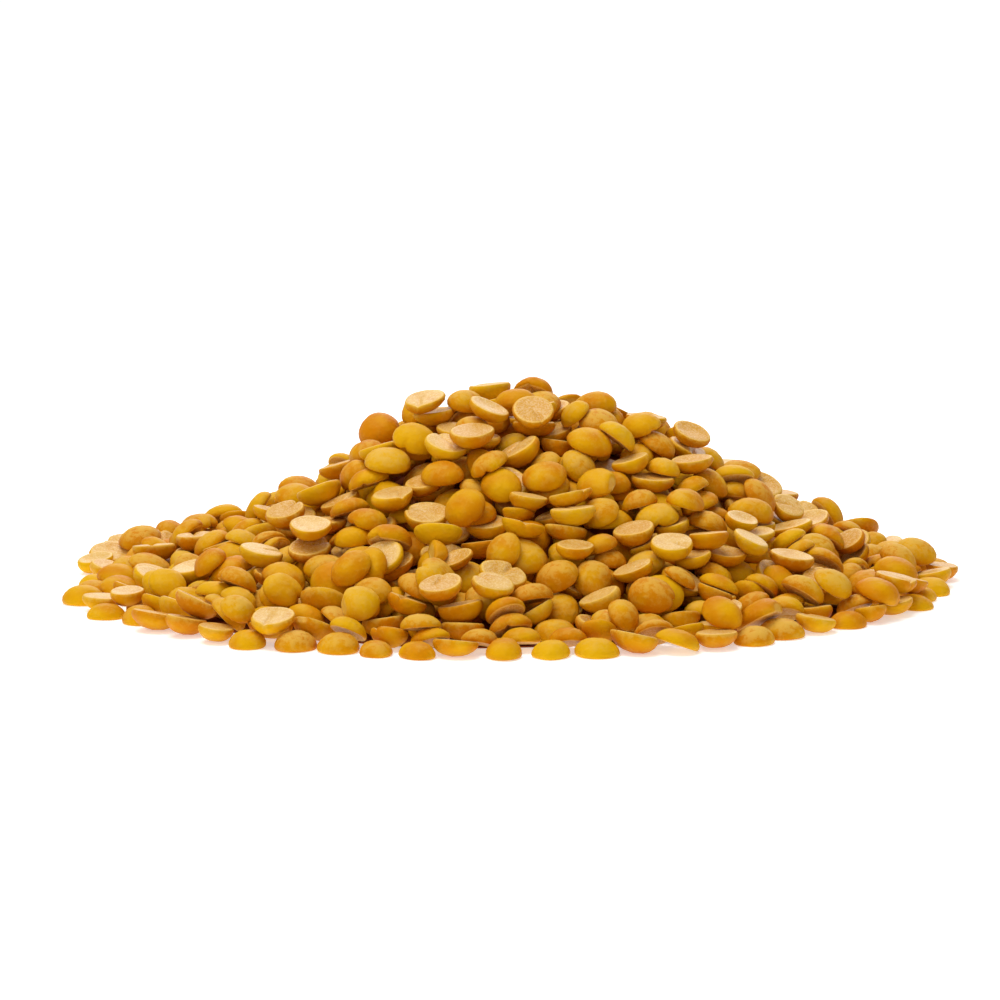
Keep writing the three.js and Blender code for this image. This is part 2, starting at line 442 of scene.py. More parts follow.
@dataclass
class HeapForm:
    """The heap's form as the frame gives it: the mean surface, the foot, and the core inside it."""

    node: bpy.types.Object
    core_depth: float = 4.5 * MM
    core_share: float = 0.2
    core_inset: float = 9.0 * MM
    smoothing: int = 12
    lift: float = 1.08
    foot_level: float = 0.3 * MM
    far: float = 1.0
    weld: float = 0.01 * MM
    ring_points: int = 181
    crest: Vector = field(default_factory=lambda: Vector((-4.0, 6.5)) * MM)

    def __post_init__(self) -> None:
        """Reads the node's mesh and keeps its surface, its smoothed surface and the core for measuring."""
        rough = self.welded_copy()
        self.outer = BVHTree.FromBMesh(rough)
        raised = [vert for vert in rough.verts if vert.co.z > self.weld]
        for _ in range(self.smoothing):
            bmesh.ops.smooth_vert(rough, verts=raised, factor=0.5, use_axis_z=True)
        self.mean = BVHTree.FromBMesh(rough)
        self.core = self.sunken_core(rough)
        self.inner = BVHTree.FromBMesh(self.core)

    def welded_copy(self) -> bmesh.types.BMesh:
        """Copies the node's mesh, with points that share a place made one, in the same order each time."""
        mesh = self.node.data
        copy = bmesh.new()
        points: dict[tuple[int, ...], bmesh.types.BMVert] = {}
        for polygon in mesh.polygons:
            corners = []
            for index in polygon.vertices:
                spot = mesh.vertices[index].co
                place = tuple(round(number / self.weld) for number in spot)
                if place not in points:
                    points[place] = copy.verts.new(spot)
                corners.append(points[place])
            copy.faces.new(corners)
        copy.normal_update()
        return copy

    def sunken_core(self, core: bmesh.types.BMesh) -> bmesh.types.BMesh:
        """Makes the core: the heap drawn in at the foot and sunk below the splits, less where it is low.

        Args:
            core: the heap's smoothed solid, which becomes the core.

        Returns:
            The core's bmesh.
        """
        low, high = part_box(HEAP_NODE)
        size = Vector(high) - Vector(low)
        inset = 2.0 * self.core_inset
        shrink = Vector(((size.x - inset) / size.x, (size.y - inset) / size.y, 1.0))
        bmesh.ops.scale(core, vec=shrink, verts=core.verts)
        for vert in core.verts:
            vert.co.z = max(vert.co.z - self.core_depth, vert.co.z * self.core_share)
        bmesh.ops.recalc_face_normals(core, faces=core.faces)
        return core

    def surface_height(self, x: float, y: float) -> float:
        """Height that the splits are laid up to over a place, or 0 outside the heap."""
        hit = self.mean.ray_cast(Vector((x, y, self.far)), Vector((0, 0, -1)))[0]
        return hit.z * self.lift if hit is not None else 0.0

    def core_height(self, x: float, y: float) -> float:
        """Height of the core over a place, or 0 where the table shows beside it."""
        hit = self.inner.ray_cast(Vector((x, y, self.far)), Vector((0, 0, -1)))[0]
        return hit.z if hit is not None else 0.0

    def foot_reach(self, angle: float) -> float:
        """Distance from under the crest to the foot.

        Args:
            angle: the direction, from +X towards +Y.

        Returns:
            The distance in metres.
        """
        away = Vector((math.cos(angle), math.sin(angle), 0.0))
        start = Vector((self.crest.x, self.crest.y, self.foot_level)) + away * self.far
        distance = self.outer.ray_cast(start, -away)[3]
        return self.far - distance

    def room(self, x: float, y: float) -> float:
        """Distance from a place to the foot beyond it, as seen from the crest."""
        away = Vector((x - self.crest.x, y - self.crest.y))
        return self.foot_reach(math.atan2(away.y, away.x)) - away.length

    def ring(self, inset: float, pitch: float, start: float) -> list[Vector]:
        """Spreads places evenly along a line that runs inside the foot.

        Args:
            inset: how far inside the foot the line runs.
            pitch: the distance between places.
            start: the share of a pitch at which the first place lies.

        Returns:
            The places, in the plane of the table.
        """
        angles = np.linspace(0.0, 2.0 * math.pi, self.ring_points)
        reaches = np.array([max(self.foot_reach(angle) - inset, 0.0) for angle in angles])
        line_x = self.crest.x + reaches * np.cos(angles)
        line_y = self.crest.y + reaches * np.sin(angles)
        walked = np.concatenate([[0.0], np.cumsum(np.hypot(np.diff(line_x), np.diff(line_y)))])
        count = int(walked[-1] / pitch)
        marks = (np.arange(count) + start) * walked[-1] / max(count, 1)
        return [Vector((np.interp(mark, walked, line_x), np.interp(mark, walked, line_y))) for mark in marks]


Part = tuple[slice, slice]


@dataclass
class Relief:
    """The height of the heap over a grid of places, as splits are laid on it one by one.

    A split counts here as the cap of a ball, cut off a little past its middle.
    """

    form: HeapForm
    cell: float = 0.35 * MM
    margin: float = 8.0 * MM
    ball_cut: float = 0.2
    mass_level: float = 0.35
    foot_room: float = 3.0 * MM
    foot_depth: float = 2.4 * MM
    blur: int = 5
    patch: int = 7

    def __post_init__(self) -> None:
        """Starts with the core and the table, and notes how high the heap is to become."""
        low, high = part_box(HEAP_NODE)
        self.corner = np.array([low[0] - self.margin, low[1] - self.margin])
        self.steps = [int((high[axis] - low[axis] + 2.0 * self.margin) / self.cell) for axis in (0, 1)]
        self.x = self.corner[0] + (np.arange(self.steps[0]) + 0.5) * self.cell
        self.y = self.corner[1] + (np.arange(self.steps[1]) + 0.5) * self.cell
        self.height = np.array([[self.form.core_height(x, y) for y in self.y] for x in self.x])
        self.target = np.array([[self.wanted(x, y) for y in self.y] for x in self.x])
        self.lack = np.full(self.height.shape, -np.inf)
        self.closed = np.zeros(self.height.shape, dtype=bool)
        self.bare = np.isfinite(self.target)
        self.refresh((slice(0, self.steps[0]), slice(0, self.steps[1])))

    def wanted(self, x: float, y: float) -> float:
        """The height that the heap is to reach over a place, which is minus infinity beside the heap."""
        if self.form.room(x, y) < self.foot_room:
            return -np.inf
        return max(self.form.surface_height(x, y), self.foot_depth)

    def refresh(self, part: Part) -> None:
        """Works out anew how much height is lacking, as a mean over the cells round each cell.

        Args:
            part: the part of the grid that has changed.
        """
        reach = self.blur // 2
        spans = [slice(max(span.start - 2 * reach, 0), min(span.stop + 2 * reach, steps))
                 for span, steps in zip(part, self.steps)]
        gap = self.target[spans[0], spans[1]] - self.height[spans[0], spans[1]]
        mean = np.lib.stride_tricks.sliding_window_view(gap, (self.blur, self.blur)).mean((2, 3))
        inner = tuple(slice(span.start + reach, span.stop - reach) for span in spans)
        self.lack[inner] = np.where(self.closed[inner], -np.inf, mean)

    def deepest(self) -> tuple[float, float, float]:
        """The place where most height is lacking, and how much."""
        across, along = np.unravel_index(int(self.lack.argmax()), self.lack.shape)
        return float(self.x[across]), float(self.y[along]), float(self.lack[across, along])

    def barest(self) -> tuple[float, float, float]:
        """The middle of the patch that shows most of the table or the core, and the share that shows."""
        shares = np.lib.stride_tricks.sliding_window_view(self.bare, (self.patch, self.patch)).mean((2, 3))
        across, along = np.unravel_index(int(shares.argmax()), shares.shape)
        middle = self.patch // 2
        return float(self.x[across + middle]), float(self.y[along + middle]), float(shares[across, along])

    def give_up(self, x: float, y: float, reach: float) -> None:
        """Wants no more height round a place."""
        part = self.window(x, y, reach)
        self.closed[part] = True
        self.lack[part] = -np.inf

    def window(self, x: float, y: float, reach: float) -> Part:
        """The part of the grid round a place.

        Args:
            x: the place's x.
            y: the place's y.
            reach: how far the part goes each way.

        Returns:
            A slice for each axis.
        """
        first = ((np.array([x, y]) - self.corner - reach) / self.cell).astype(int)
        count = int(2.0 * reach / self.cell) + 1
        spans = []
        for axis in (0, 1):
            begin = int(np.clip(first[axis], 0, self.steps[axis] - 2))
            spans.append(slice(begin, min(begin + count, self.steps[axis])))
        return spans[0], spans[1]

    def slope(self, x: float, y: float, reach: float) -> Vector:
        """The lean of the ground round a place, as the rise along x and along y."""
        across, along = self.window(x, y, reach)
        ground = self.height[across, along]
        over_x = (self.x[across] - self.x[across].mean())[:, None]
        over_y = (self.y[along] - self.y[along].mean())[None, :]
        rise_x = (ground * over_x).sum() / ((over_x ** 2).sum() * ground.shape[1])
        rise_y = (ground * over_y).sum() / ((over_y ** 2).sum() * ground.shape[0])
        return Vector((rise_x, rise_y))

    def spans(self, size: Vector, turn: Matrix, x: float, y: float) -> tuple[Part, np.ndarray, np.ndarray]:
        """The under and upper side of a ball's cap of a split's size, with its centre of mass at height 0.

        Args:
            size: the split's length, width and thickness.
            turn: how it is turned.
            x: its place's x.
            y: its place's y.

        Returns:
            The part of the grid, the under side over it and the upper side, where they aren't infinite.
        """
        ball = 2.0 * math.sqrt(1.0 - self.ball_cut ** 2)
        half = np.array([size.x / ball, size.y / ball, size.z / (1.0 - self.ball_cut)])
        part = self.window(x, y, 0.5 * size.x + self.cell)
        away = np.stack(np.meshgrid(self.x[part[0]] - x, self.y[part[1]] - y, indexing="ij"), -1)
        back = np.array(turn.to_3x3()).T
        foot = away @ back[:, :2].T + np.array([0.0, 0.0, self.mass_level * size.z])
        centred = foot + np.array([0.0, 0.0, self.ball_cut * half[2]])
        rise = back[:, 2]
        square = ((rise / half) ** 2).sum()
        middle = (centred * rise / half ** 2).sum(-1) / square
        inside = middle ** 2 - (((centred / half) ** 2).sum(-1) - 1.0) / square
        root = np.sqrt(np.where(inside > 0.0, inside, np.nan))
        under, upper = -middle - root, -middle + root
        flat = -foot[..., 2] / (rise[2] if abs(rise[2]) > NIL else NIL)
        if rise[2] > 0.0:
            under = np.fmax(under, flat)
        else:
            upper = np.fmin(upper, flat)
        missed = ~(under < upper)
        return part, np.where(missed, np.inf, under), np.where(missed, -np.inf, upper)

    def landing(self, size: Vector, turn: Matrix, x: float, y: float) -> tuple[float, float]:
        """Lets a split straight down on the heap.

        Args:
            size: the split's length, width and thickness.
            turn: how it is turned.
            x: its place's x.
            y: its place's y.

        Returns:
            The height at which it touches the heap, and the mean gap left under it.
        """
        part, under, _ = self.spans(size, turn, x, y)
        rise = self.height[part] - under
        height = float(rise.max())
        return height, float((height - rise[np.isfinite(under)]).mean())

    def put(self, size: Vector, turn: Matrix, spot: Vector) -> None:
        """Raises the heap by a split that lies on it."""
        part, _, upper = self.spans(size, turn, spot.x, spot.y)
        self.height[part] = np.maximum(self.height[part], upper + spot.z)
        self.bare[part] &= np.isinf(upper)
        self.refresh(part)


Laid = list[tuple[Split, Matrix]]


@dataclass
class Pouring:
    """Pours the splits over the core: lays them one by one, and lets them come to rest under gravity."""

    form: HeapForm
    rng: np.random.Generator
    foot_insets: tuple[float, ...] = (2.4 * MM, 6.0 * MM, 10.0 * MM)
    foot_pitch: float = 5.1 * MM
    foot_spread: float = 1.2 * MM
    jitter: float = 0.7 * MM
    tries: int = 4000
    least_lack: float = 0.3 * MM
    least_bare: float = 0.45
    proud: float = 1.8 * MM
    full_height: float = 9.0 * MM
    least_top: float = 2.1 * MM
    choices: int = 18
    height_weight: float = 0.6
    search: float = 2.0 * MM
    slope_share: float = 0.4
    cut_side_up: float = 0.45
    dome_up_share: float = 0.6
    cut_up_share: float = 0.4
    lean: float = 7.0
    frames: int = 14
    substeps: int = 6
    iterations: int = 10
    gravity: float = 25.0
    friction: float = 1.3
    core_friction: float = 1.5
    table_friction: float = 1.2
    table_reach: float = 0.2
    contact_margin: float = 0.005
    damping: float = 0.9
    spin_damping: float = 1.0
    units: float = 200.0
    fit: float = 0.96
    keep_slack: float = 0.5 * MM

    def lay(self) -> Laid:
        """Models splits and lays each on the heap: along the foot, up to its height, then over bare places.

        Returns:
            The splits, and where each of them starts.
        """
        relief = Relief(self.form)
        laid: Laid = []
        self.lay_foot(relief, laid)
        self.fill_up(relief, laid)
        self.cover_bare(relief, laid)
        return laid

    def lay_foot(self, relief: Relief, laid: Laid) -> None:
        """Lays uneven rows along the foot.

        Args:
            relief: the heap so far.
            laid: the splits so far.
        """
        foot = [spot for inset in self.foot_insets
                for spot in self.form.ring(inset, self.foot_pitch, float(self.rng.uniform()))]
        for spot in foot:
            inward = (self.form.crest - spot).normalized()
            spot += inward * between(self.rng, (0.0, self.foot_spread))
            split = self.next_split(len(laid))
            start = self.best_start(relief, split, spot.x, spot.y, self.jitter)
            relief.put(split.size, start, start.translation)
            laid.append((split, start))

    def fill_up(self, relief: Relief, laid: Laid) -> None:
        """Lays splits where most height is lacking, until hardly any is.

        Args:
            relief: the heap so far.
            laid: the splits so far.
        """
        split = self.next_split(len(laid))
        for _ in range(self.tries):
            x, y, lack = relief.deepest()
            if lack < self.least_lack:
                break
            start = self.best_start(relief, split, x, y, self.search)
            spot = start.translation
            ground = self.form.surface_height(spot.x, spot.y)
            proud = self.proud * min(ground / self.full_height, 1.0)
            if spot.z > max(ground + proud, self.least_top):
                relief.give_up(x, y, self.jitter)
                continue
            relief.put(split.size, start, spot)
            laid.append((split, start))
            split = self.next_split(len(laid))
        bpy.data.meshes.remove(split.mesh)

    def cover_bare(self, relief: Relief, laid: Laid) -> None:
        """Lays splits over the places that still show the table or the core.

        Args:
            relief: the heap so far.
            laid: the splits so far.
        """
        for _ in range(self.tries):
            x, y, share = relief.barest()
            if share < self.least_bare:
                break
            split = self.next_split(len(laid))
            start = self.best_start(relief, split, x, y, self.jitter)
            relief.put(split.size, start, start.translation)
            relief.bare[relief.window(x, y, self.jitter)] = False
            laid.append((split, start))

    def next_split(self, number: int) -> Split:
        """Models a split of a kind drawn by the kinds' shares.

        Args:
            number: its number.

        Returns:
            The split.
        """
        kinds = list(KIND_SHARES)
        drawn = self.rng.choice(len(kinds), p=list(KIND_SHARES.values()))
        split = Split(kinds[drawn], self.rng)
        split.build(f"split_{number}")
        return split

    def best_start(self, relief: Relief, split: Split, x: float, y: float, search: float) -> Matrix:
        """Tries a few places and turns round a place, and takes the one where the split lies closest.

        Args:
            relief: the heap so far.
            split: the split to lay.
            x: the place's x.
            y: the place's y.
            search: how far from the place it may lie, each way.

        Returns:
            Where the split lies.
        """
        over = math.pi if self.rng.uniform() < self.cut_side_up else 0.0
        best: tuple[float, Matrix] | None = None
        for _ in range(self.choices):
            near_x = x + either_way(self.rng, search)
            near_y = y + either_way(self.rng, search)
            slope = relief.slope(near_x, near_y, self.slope_share * split.size.x)
            turn = self.attitude(slope, over)
            height, gap = relief.landing(split.size, turn, near_x, near_y)
            perch = gap + self.height_weight * (height - self.form.surface_height(near_x, near_y))
            if best is None or perch < best[0]:
                best = (perch, Matrix.Translation((near_x, near_y, height)) @ turn)
        return best[1]

    def attitude(self, slope: Vector, over: float) -> Matrix:
        """Draws how a split is turned: leaning partly with the ground, and a little some other way.

        Args:
            slope: the ground's rise along x and along y.
            over: half a turn when the cut face is up.

        Returns:
            The turn.
        """
        share = self.cut_up_share if over else self.dome_up_share
        upward = Vector((-slope.x * share, -slope.y * share, 1.0))
        along = Vector((0, 0, 1)).rotation_difference(upward)
        lean = math.radians(self.lean) * float(self.rng.normal())
        about = Quaternion((0, 0, 1), between(self.rng, (0.0, 2.0 * math.pi)))
        heading = Quaternion((0, 0, 1), between(self.rng, (0.0, 2.0 * math.pi)))
        return (along @ heading @ Quaternion((1, 0, 0), over + lean) @ about).to_matrix().to_4x4()

    def settle(self, laid: Laid) -> list[Matrix]:
        """Lets the splits fall and come to rest, in a world enlarged so that the solver holds small things.

        Args:
            laid: the modelled splits, and where each of them starts.

        Returns:
            Where each split lies, as the matrix that takes its enlarged mesh there.
        """
        scene = bpy.context.scene
        scene.gravity = (0.0, 0.0, -self.gravity)
        bpy.ops.rigidbody.world_add()
        world = scene.rigidbody_world
        world.collection = bpy.data.collections.new("poured")
        world.substeps_per_frame = self.substeps
        world.solver_iterations = self.iterations
        world.point_cache.frame_start = 1
        world.point_cache.frame_end = self.frames + 1
        grounds = [self.still_body("settling_core", self.form.core, self.core_friction), self.table_body()]
        bodies = [self.falling_body(index, split, start) for index, (split, start) in enumerate(laid)]
        for number in range(1, self.frames + 1):
            scene.frame_set(number)
        graph = bpy.context.evaluated_depsgraph_get()
        rests = [self.rest_of(body.evaluated_get(graph).matrix_world) for body in bodies]
        bpy.ops.rigidbody.world_remove()
        for body in bodies:
            bpy.data.objects.remove(body)
        for ground in grounds:
            bpy.data.meshes.remove(ground.data)
        scene.frame_set(1)
        return rests

    def still_body(self, name: str, shape: bmesh.types.BMesh, friction: float) -> bpy.types.Object:
        """Adds a body that doesn't move.

        Args:
            name: its name.
            shape: its shape in metres.
            friction: how rough it is.

        Returns:
            The object in the enlarged world.
        """
        mesh = bpy.data.meshes.new(name)
        shape.to_mesh(mesh)
        mesh.transform(Matrix.Scale(self.units, 4))
        body = bpy.data.objects.new(name, mesh)
        bpy.context.scene.collection.objects.link(body)
        bpy.context.scene.rigidbody_world.collection.objects.link(body)
        body.rigid_body.type = "PASSIVE"
        body.rigid_body.collision_shape = "MESH"
        body.rigid_body.friction = friction
        body.rigid_body.use_margin = True
        body.rigid_body.collision_margin = self.contact_margin
        return body

    def table_body(self) -> bpy.types.Object:
        """Adds the table that the foot's splits come to rest on."""
        shape = bmesh.new()
        bmesh.ops.create_grid(shape, x_segments=1, y_segments=1, size=self.table_reach)
        body = self.still_body("settling_table", shape, self.table_friction)
        shape.free()
        return body

    def falling_body(self, index: int, split: Split, start: Matrix) -> bpy.types.Object:
        """Enlarges a split and lets it fall.

        Args:
            index: its number.
            split: the modelled split.
            start: where it starts, in metres.

        Returns:
            The object in the enlarged world.
        """
        split.mesh.transform(Matrix.Scale(self.units * self.fit, 4))
        body = bpy.data.objects.new(f"falling_{index}", split.mesh)
        body.rotation_mode = "QUATERNION"
        body.rotation_quaternion = start.to_quaternion()
        body.location = start.translation * self.units
        bpy.context.scene.collection.objects.link(body)
        bpy.context.scene.rigidbody_world.collection.objects.link(body)
        rigid = body.rigid_body
        rigid.type = "ACTIVE"
        rigid.collision_shape = "CONVEX_HULL"
        rigid.friction = self.friction
        rigid.restitution = 0.0
        rigid.linear_damping = self.damping
        rigid.angular_damping = self.spin_damping
        return body

    def rest_of(self, world: Matrix) -> Matrix:
        """The matrix that takes an enlarged split to where it lies in metres."""
        return Matrix.Scale(1.0 / self.units, 4) @ world @ Matrix.Scale(1.0 / self.fit, 4)

    def keeps(self, rest: Matrix) -> bool:
        """Tells whether a split came to rest on the heap, and didn't roll away from its foot."""
        spot = rest.translation
        return self.form.room(spot.x, spot.y) > -self.keep_slack and spot.z > 0.0


class Value:
    """A socket whose arithmetic adds Math nodes to its tree."""

    def __init__(self, tree: "NodeTree", socket: bpy.types.NodeSocket) -> None:
        """Keeps the tree and the socket."""
        self.tree = tree
        self.socket = socket

    def math(self, operation: str, other: "Value | float", swapped: bool = False) -> "Value":
        """Adds a Math node.

        Args:
            operation: the node's operation.
            other: the other number or value.
            swapped: whether this value comes second.

        Returns:
            The result.
        """
        terms = {0: other, 1: self} if swapped else {0: self, 1: other}
        return self.tree.add("ShaderNodeMath", {"operation": operation}, terms).value()

    def __add__(self, other: "Value | float") -> "Value":
        """This plus the other."""
        return self.math("ADD", other)

    def __radd__(self, other: "Value | float") -> "Value":
        """The other plus this."""
        return self.math("ADD", other, swapped=True)

    def __sub__(self, other: "Value | float") -> "Value":
        """This less the other."""
        return self.math("SUBTRACT", other)

    def __rsub__(self, other: "Value | float") -> "Value":
        """The other less this."""
        return self.math("SUBTRACT", other, swapped=True)

    def __mul__(self, other: "Value | float") -> "Value":
        """This times the other."""
        return self.math("MULTIPLY", other)

    def __rmul__(self, other: "Value | float") -> "Value":
        """The other times this."""
        return self.math("MULTIPLY", other, swapped=True)

    def step(self, low: float, high: float) -> "Value":
        """Rises smoothly from 0 where this is low to 1 where it is high."""
        settings = {"interpolation_type": "SMOOTHSTEP"}
        return self.tree.add("ShaderNodeMapRange", settings, {"Value": self, 1: low, 2: high}).value()


@dataclass
class AddedNode:
    """A node in a tree, whose outputs are taken as values."""

    tree: "NodeTree"
    node: bpy.types.Node

    def value(self, output: int | str = 0) -> Value:
        """One of the node's outputs."""
        return Value(self.tree, self.node.outputs[output])


class NodeTree:
    """A material's or world's nodes, started empty."""

    def __init__(self, owner: bpy.types.ID) -> None:
        """Clears the owner's nodes.

        Args:
            owner: the material or world.
        """
        owner.use_nodes = True
        self.tree = owner.node_tree
        self.tree.nodes.clear()

    def add(self, kind: str, settings: dict[str, object] | None = None,
            sockets: dict[int | str, object] | None = None) -> AddedNode:
        """Adds a node, sets it, and then fills its sockets.

        Args:
            kind: the node's type.
            settings: its properties.
            sockets: numbers, colours or values for its inputs.

        Returns:
            The added node.
        """
        node = self.tree.nodes.new(kind)
        for name, setting in (settings or {}).items():
            setattr(node, name, setting)
        for name, given in (sockets or {}).items():
            if isinstance(given, Value):
                self.tree.links.new(given.socket, node.inputs[name])
            else:
                node.inputs[name].default_value = given
        return AddedNode(self, node)

    def mix(self, share: Value | float, first: object, second: object) -> Value:
        """Mixes two colours.

        Args:
            share: how much of the second there is.
            first: a colour or value.
            second: a colour or value.

        Returns:
            The mixed colour.
        """
        node = self.add("ShaderNodeMix", {"data_type": "RGBA"}, {"Factor": share, 6: first, 7: second})
        return node.value(2)

    def attribute(self, name: str) -> Value:
        """A number that the mesh carries."""
        return self.add("ShaderNodeAttribute", {"attribute_name": name}).value("Fac")

    def place(self) -> Value:
        """Object coordinates, in metres."""
        return self.add("ShaderNodeTexCoord").value("Object")

    def noise(self, place: Value, size: float, detail: float = 2.0, roughness: float = 0.5) -> Value:
        """Soft noise.

        Args:
            place: the coordinates.
            size: the size of its spots, in metres.
            detail: how many finer octaves it has.
            roughness: how strong those are.

        Returns:
            A number around a half.
        """
        sockets = {"Vector": place, "Scale": 1.0 / size, "Detail": detail, "Roughness": roughness}
        return self.add("ShaderNodeTexNoise", None, sockets).value("Fac")


Colour = tuple[float, float, float, float]


def srgb(red: int, green: int, blue: int) -> Colour:
    """A colour given as it looks on screen, as the linear light that shaders take."""
    parts = [channel / 255.0 for channel in (red, green, blue)]
    linear = [part / 12.92 if part <= 0.04045 else ((part + 0.055) / 1.055) ** 2.4 for part in parts]
    return (*linear, 1.0)


PURE_WHITE = srgb(255, 255, 255)


@dataclass(frozen=True)
class DalFinish:
    """The look of dry split toor dal: waxy amber domes, dusty in patches and paler on their upper sides with
    painted sheen, and pale mealy cut faces with flecks that are partly painted sparkle and a painted
    highlight along the rim.
    """

    dome: Colour = srgb(221, 161, 2)
    dome_deep: Colour = srgb(207, 128, 0)
    dome_pale: Colour = srgb(227, 176, 14)
    # the dust colour, which on the upper sides is also a painted sheen
    dome_dust_and_sheen: Colour = srgb(222, 175, 72)
    face: Colour = srgb(222, 173, 78)
    face_deep: Colour = srgb(210, 149, 36)
    # pale flecks on the cut face: partly mealy grain, partly painted sparkle
    face_frost_and_sparkle: Colour = srgb(246, 224, 180)
    # a painted highlight along the rim of the cut face
    rim: Colour = srgb(238, 194, 84)
    shine: Colour = srgb(255, 218, 130)
    blotch_size: float = 2.6 * MM
    patch_size: float = 0.8 * MM
    grain_size: float = 0.2 * MM
    bump_depth: float = 0.2 * MM

    def material(self, name: str) -> bpy.types.Material:
        """Builds the material.

        Args:
            name: the material's name.

        Returns:
            The material.
        """
        made = bpy.data.materials.new(name)
        tree = NodeTree(made)
        place = tree.place()
        cut = tree.attribute("cut")
        tint = tree.attribute("tint")
        dust_and_sheen = tree.attribute("dust_and_sheen")
        blotch = tree.noise(place, self.blotch_size, 0.0)
        patch = tree.noise(place, self.patch_size, 1.0, 0.6)
        grain = tree.noise(place, self.grain_size, 1.0, 0.6)
        on_face = cut.step(0.5, 0.72)
        # dust in patches, lying mostly on the upper sides once the split rests: partly dust, partly painted
        # sheen
        dust_and_sheen_share = (patch + dust_and_sheen * 0.3 + (grain - 0.5) * 0.5).step(0.5, 0.8) * (0.1 + 0.8 * dust_and_sheen)
        dome = self.dome_colour(tree, blotch, tint, dust_and_sheen_share)
        face = self.face_colour(tree, blotch, tint, cut, grain, patch)
        bump = tree.add("ShaderNodeBump", None, {
            "Strength": 0.6,
            "Distance": self.bump_depth,
            "Height": patch,
        })
        shader = tree.add("ShaderNodeBsdfPrincipled", None, {
            "Base Color": tree.mix(on_face, dome, face),
            "Roughness": 0.5 + 0.12 * dust_and_sheen_share,
            "Normal": bump.value(),
            "IOR": 1.45,
            "Specular IOR Level": 0.2,
            "Specular Tint": self.shine,
            "Coat Weight": on_face * (0.2 + 0.5 * grain),
            "Coat Roughness": 0.36,
            "Coat IOR": 1.5,
        })
        tree.add("ShaderNodeOutputMaterial", None, {"Surface": shader.value()})
        return made

    def dome_colour(self, tree: NodeTree, blotch: Value, tint: Value, dust_and_sheen_share: Value) -> Value:
        """Mixes the colour of the waxy skin side.

        Args:
            tree: the material's nodes.
            blotch: broad mottling.
            tint: the split's own tint.
            dust_and_sheen_share: how much dust lies on it, with a painted sheen on its upper sides.

        Returns:
            The colour.
        """
        colour = tree.mix((blotch + tint * 0.25).step(0.25, 0.75), self.dome_deep, self.dome)
        colour = tree.mix((tint * 0.5 + 0.1).step(0.1, 0.6) * 0.7, colour, self.dome_pale)
        return tree.mix(dust_and_sheen_share, colour, self.dome_dust_and_sheen)

    def face_colour(self, tree: NodeTree, blotch: Value, tint: Value, cut: Value,
                    grain: Value, patch: Value) -> Value:
        """Mixes the colour of the mealy cut side, with pale flecks that are partly painted sparkle and a
        painted highlight along the rim.

        Args:
            tree: the material's nodes.
            blotch: broad mottling.
            tint: the split's own tint.
            cut: the mark of cut faces, lower towards the rim.
            grain: fine mottling.
            patch: middling mottling.

        Returns:
            The colour.
        """
        mottling = (blotch * 0.5 + patch * 0.5 + tint * 0.3).step(0.3, 0.7)
        colour = tree.mix(mottling, self.face_deep, self.face)
        # scatters pale flecks over the cut face: partly mealy grain, partly painted sparkle
        frost_and_sparkle = (grain * 0.9 + patch * 0.2).step(0.42, 0.8) * 0.42
        colour = tree.mix(frost_and_sparkle, colour, self.face_frost_and_sparkle)
        # lightens the rim of the cut face: a painted highlight
        return tree.mix((1.0 - cut.step(0.7, 1.0)) * 0.7, colour, self.rim)


@dataclass(frozen=True)
class CoreShadeFinish:
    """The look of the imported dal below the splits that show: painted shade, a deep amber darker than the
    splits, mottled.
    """

    # both colours are painted shade: the core shows only in the gaps, so it is coloured as dal in shade
    deep: Colour = srgb(124, 48, 0)
    lit: Colour = srgb(172, 86, 0)
    lump_size: float = 3.0 * MM
    grain_size: float = 0.3 * MM
    bump_depth: float = 0.4 * MM

    def material(self, name: str) -> bpy.types.Material:
        """Builds the material.

        Args:
            name: the material's name.

        Returns:
            The material.
        """
        made = bpy.data.materials.new(name)
        tree = NodeTree(made)
        place = tree.place()
        lump = tree.noise(place, self.lump_size, 2.0)
        grain = tree.noise(place, self.grain_size, 3.0)
        colour = tree.mix(lump.step(0.35, 0.65), self.deep, self.lit)
        bump = tree.add("ShaderNodeBump", None, {
            "Strength": 0.5,
            "Distance": self.bump_depth,
            "Height": lump + grain * 0.3,
        })
        shader = tree.add("ShaderNodeBsdfPrincipled", None, {
            "Base Color": colour,
            "Roughness": 0.6 + grain * 0.2,
            "Normal": bump.value(),
        })
        tree.add("ShaderNodeOutputMaterial", None, {"Surface": shader.value()})
        return made


@dataclass(frozen=True)
class TableFinish:
    """The look of the table: a plain white sweep, lit a little from below as in a product studio."""

    white: Colour = (0.93, 0.925, 0.92, 1.0)
    glow: float = 0.40
    fleck_size: float = 0.4

    def material(self, name: str) -> bpy.types.Material:
        """Builds the material.

        Args:
            name: the material's name.

        Returns:
            The material.
        """
        made = bpy.data.materials.new(name)
        tree = NodeTree(made)
        fleck = tree.noise(tree.place(), self.fleck_size, 2.0)
        colour = tree.mix(fleck * 0.05, self.white, PURE_WHITE)
        shader = tree.add("ShaderNodeBsdfPrincipled", None, {
            "Base Color": colour,
            "Roughness": 1.0,
            "Specular IOR Level": 0.0,
            "Emission Color": PURE_WHITE,
            "Emission Strength": self.glow,
        })
        tree.add("ShaderNodeOutputMaterial", None, {"Surface": shader.value()})
        return made


